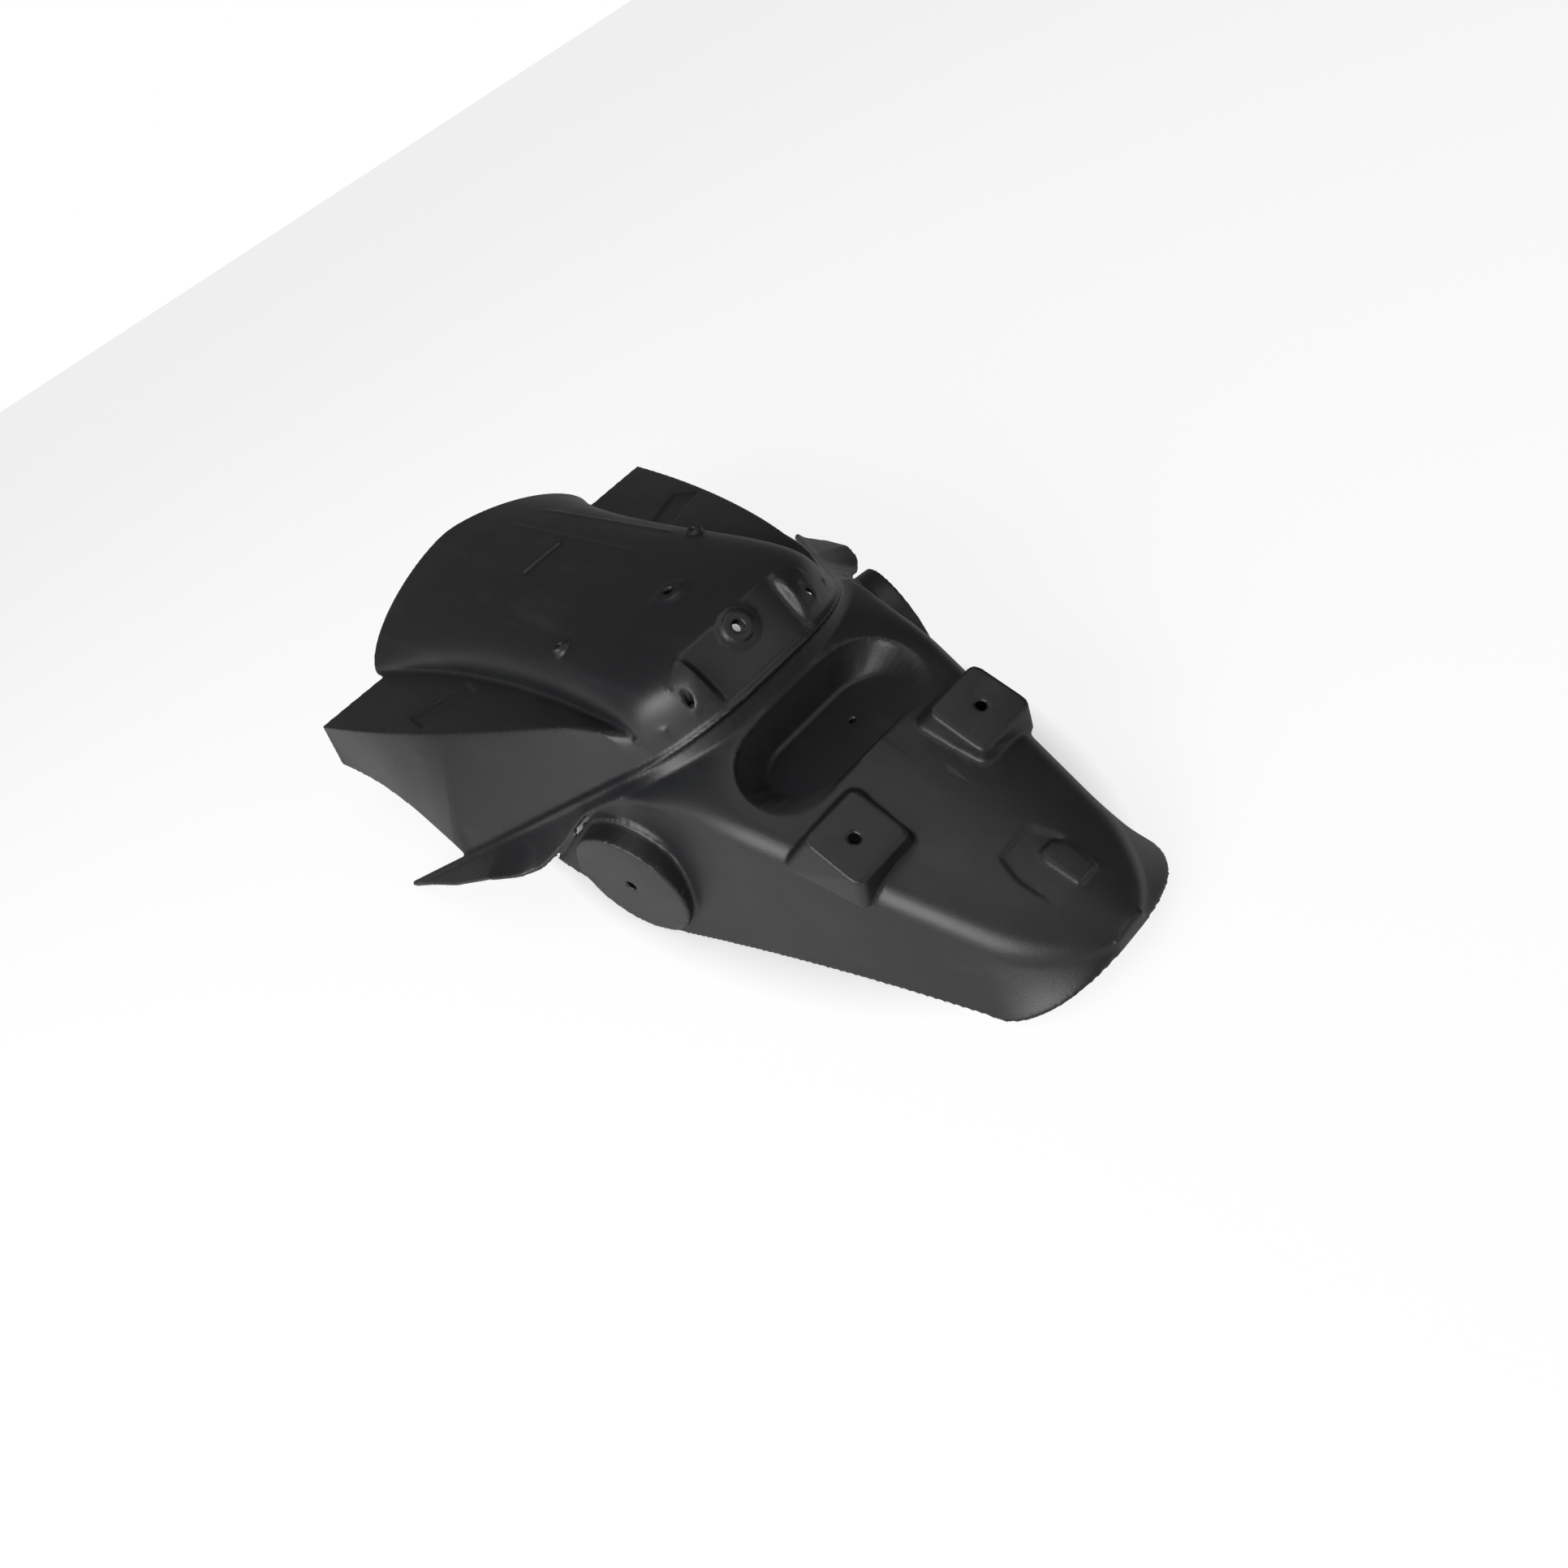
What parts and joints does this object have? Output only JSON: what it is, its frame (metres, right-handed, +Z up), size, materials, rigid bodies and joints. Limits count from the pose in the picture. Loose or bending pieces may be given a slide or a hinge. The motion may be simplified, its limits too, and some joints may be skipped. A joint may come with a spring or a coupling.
{
  "type": "motorcycle rear fender",
  "caption": "Black moulded rear fender of a motorcycle, with a front tray, side wings, turn signal bosses and number plate pads.",
  "frame": {"origin": "on the floor under the fender, on its centre plane, midway between the tail end and the front edge", "axes": "+Y towards the front tray, +X towards the rider's right, +Z up; the moulding lies as it rests on the tail's lower edges and the two flange tips"},
  "size_m": [0.4206, 0.626, 0.1594],
  "materials": {
    "black_plastic": "satin, finely grained"
  },
  "bodies": {
    "root": {"rear_fender": "black_plastic"}
  },
  "joints": []
}
